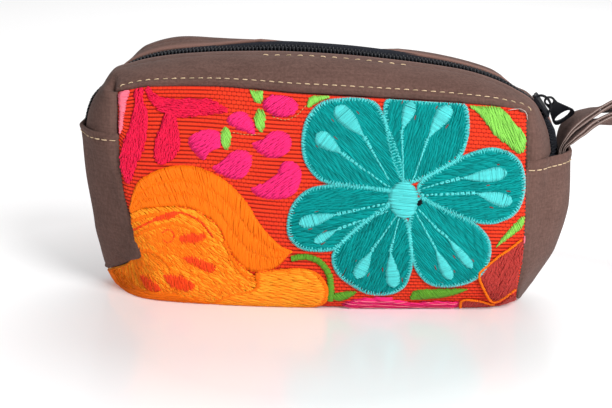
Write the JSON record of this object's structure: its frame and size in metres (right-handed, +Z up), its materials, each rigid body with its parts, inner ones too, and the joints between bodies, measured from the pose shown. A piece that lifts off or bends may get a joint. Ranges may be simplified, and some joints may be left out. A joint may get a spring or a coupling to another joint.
{
  "type": "woven textile zip pouch",
  "caption": "Boxy soft zip pouch in red embroidered woven cloth with brown brushed-cloth bands, side gussets, a coil zip and a folded wrist strap loop.",
  "frame": {"origin": "on the floor under the middle of the flat base", "axes": "+X to the pouch's right (strap side) seen from the front, +Y to the back, +Z up"},
  "size_m": [0.285, 0.0626, 0.1037],
  "materials": {
    "red_weave": "ribbed weave with raised embroidery",
    "brown_cloth": "brushed, suede-like",
    "black_tape": "fine twill tape",
    "black_coil": "satin coil",
    "black_metal": "gloss black paint"
  },
  "bodies": {
    "bag": {"main_panel": "red_weave", "front_band": "brown_cloth", "back_band": "brown_cloth", "left_gusset": "brown_cloth", "right_gusset": "brown_cloth", "zip_tape": "black_tape", "zip_coil": "black_coil", "zip_slider": "black_metal", "wrist_strap": "brown_cloth"},
    "pull": {"zip_pull": "black_metal"}
  },
  "joints": [
    {"name": "pull_swing", "type": "hinge", "parent": "bag", "child": "pull", "pos_m": [0.09072, -0.00068, 0.08397], "axis": [0.5782, 0, -0.8159], "range_deg": [0, 38]}
  ]
}
